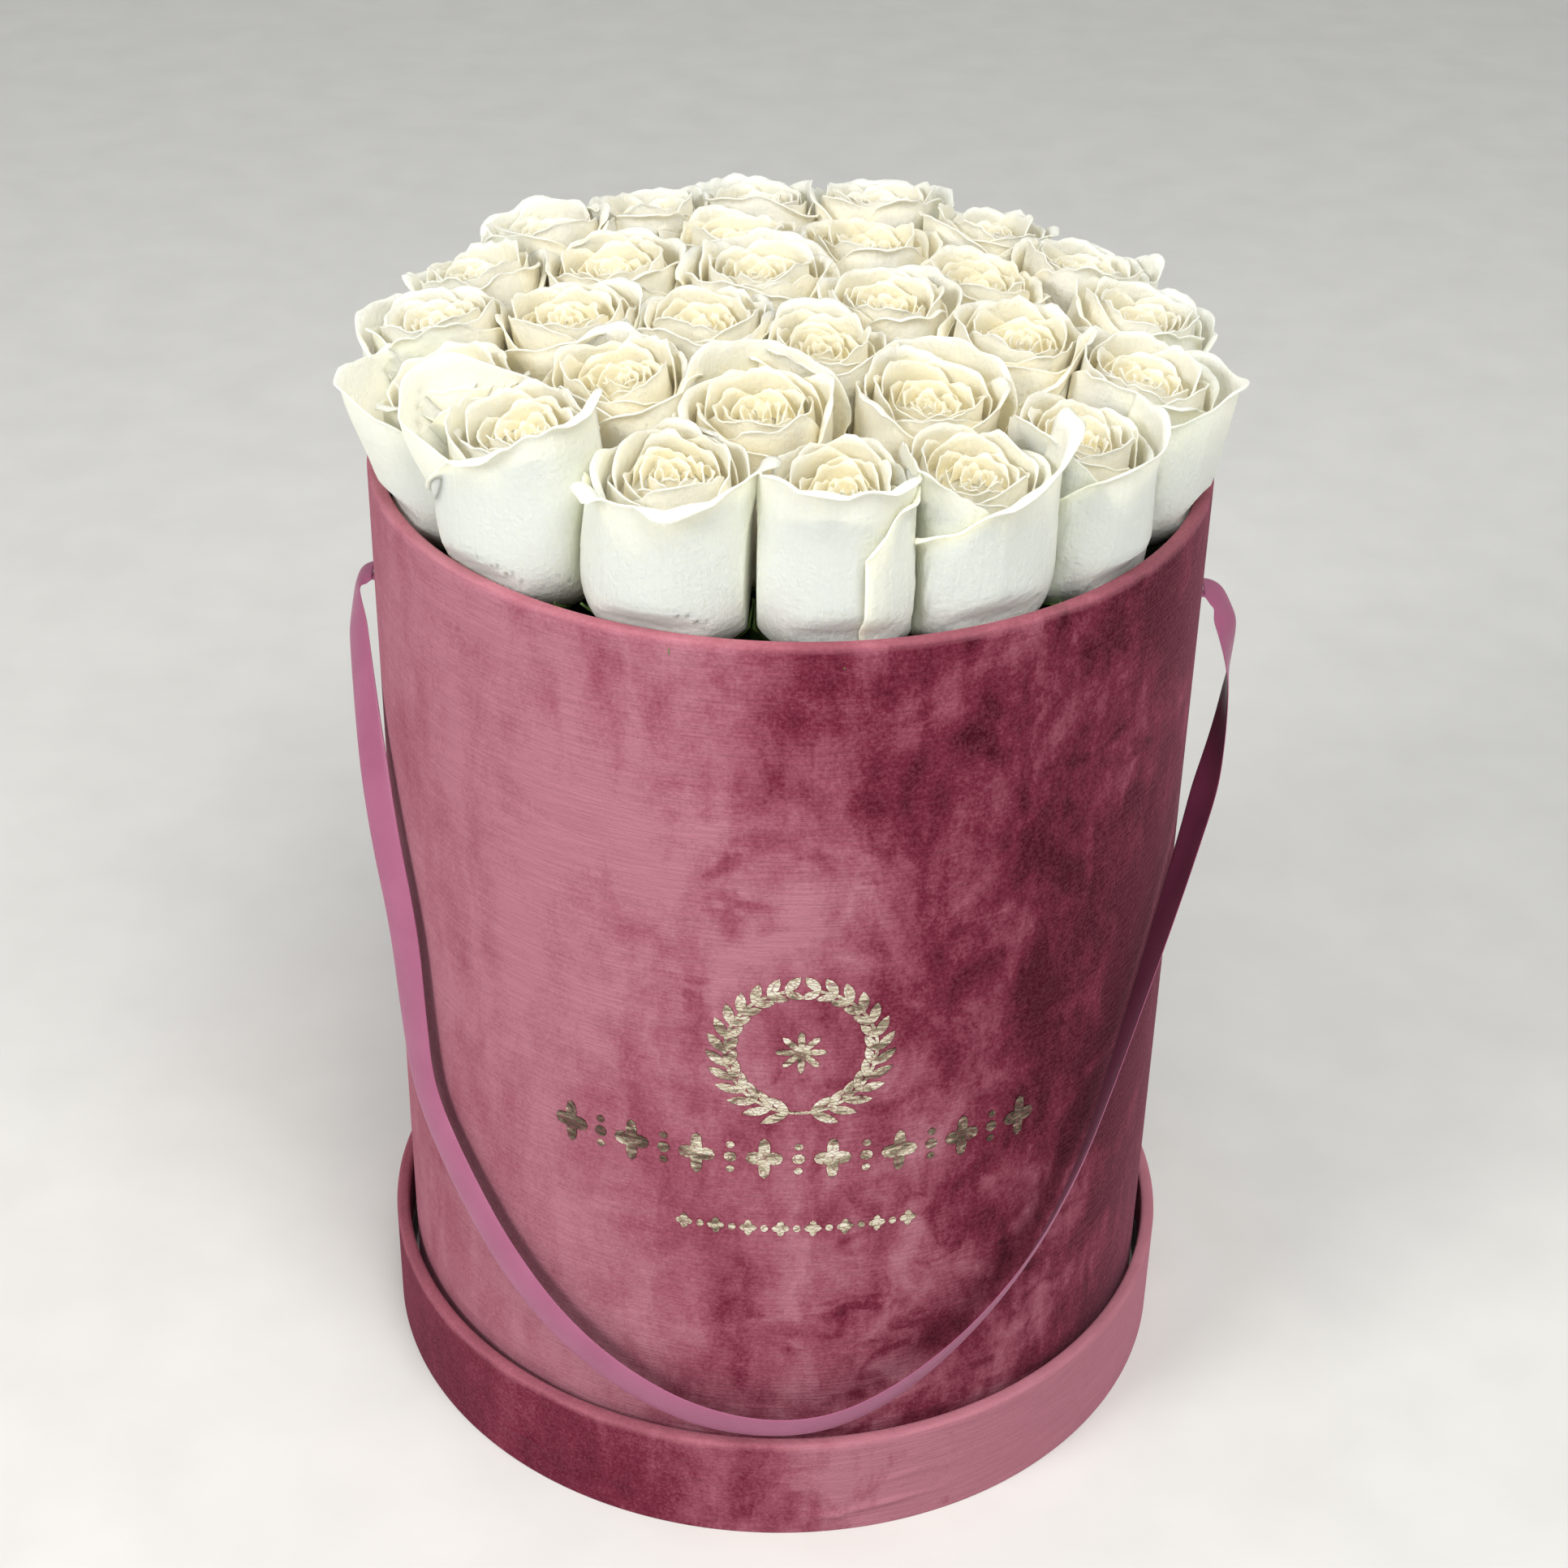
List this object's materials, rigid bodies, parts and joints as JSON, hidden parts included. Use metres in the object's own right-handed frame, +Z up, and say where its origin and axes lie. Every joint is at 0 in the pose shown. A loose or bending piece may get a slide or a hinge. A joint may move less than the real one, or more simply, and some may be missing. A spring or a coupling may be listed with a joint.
{
  "type": "flower box",
  "caption": "Round velvet box standing in its own upturned lid, with a satin ribbon handle, filled with long-stemmed white roses in floral foam.",
  "frame": {"origin": "centre of the underside of the lid, which stands upside down as a tray", "axes": "+Z up along the box, -Y is the front with the foil ornament, +X to the right seen from the front"},
  "size_m": [0.2151, 0.2116, 0.2915],
  "materials": {
    "velvet": "matte",
    "greyboard": "matte",
    "lining_paper": "matte",
    "satin_ribbon": "satin",
    "hot_foil": "gloss",
    "clear_plastic": "satin",
    "floral_foam": "matte",
    "stem_green": "satin",
    "petals": "satin"
  },
  "bodies": {
    "lid_tray": {"lid_top_board": "greyboard", "lid_rim_board": "greyboard", "lid_top_velvet": "velvet", "lid_rim_velvet": "velvet", "lid_lining": "lining_paper"},
    "box": {"base_board": "greyboard", "base_paper": "lining_paper", "floral_foam": "floral_foam", "foil_ornament": "hot_foil", "inner_lining": "lining_paper", "liner_pot": "clear_plastic", "ribbon_end_left": "satin_ribbon", "ribbon_end_right": "satin_ribbon", "rose_bloom_01": "petals", "rose_bloom_02": "petals", "rose_bloom_03": "petals", "rose_bloom_04": "petals", "rose_bloom_05": "petals", "rose_bloom_06": "petals", "rose_bloom_07": "petals", "rose_bloom_08": "petals", "rose_bloom_09": "petals", "rose_bloom_10": "petals", "rose_bloom_11": "petals", "rose_bloom_12": "petals", "rose_bloom_13": "petals", "rose_bloom_14": "petals", "rose_bloom_15": "petals", "rose_bloom_16": "petals", "rose_bloom_17": "petals", "rose_bloom_18": "petals", "rose_bloom_19": "petals", "rose_bloom_20": "petals", "rose_bloom_21": "petals", "rose_bloom_22": "petals", "rose_bloom_23": "petals", "rose_bloom_24": "petals", "rose_bloom_25": "petals", "rose_bloom_26": "petals", "rose_bloom_27": "petals", "rose_bloom_28": "petals", "rose_bloom_29": "petals", "rose_hips": "stem_green", "rose_stems": "stem_green", "wall_board": "greyboard", "wall_velvet": "velvet"},
    "handle": {"ribbon_handle": "satin_ribbon"}
  },
  "joints": [
    {"name": "box_lift", "type": "slide", "parent": "lid_tray", "child": "box", "axis": [0, 0, 1], "range_m": [0, 0.06]},
    {"name": "handle_swing", "type": "hinge", "parent": "box", "child": "handle", "pos_m": [0, 0, 0.218], "axis": [-1, 0, 0], "range_deg": [0, 150]}
  ]
}
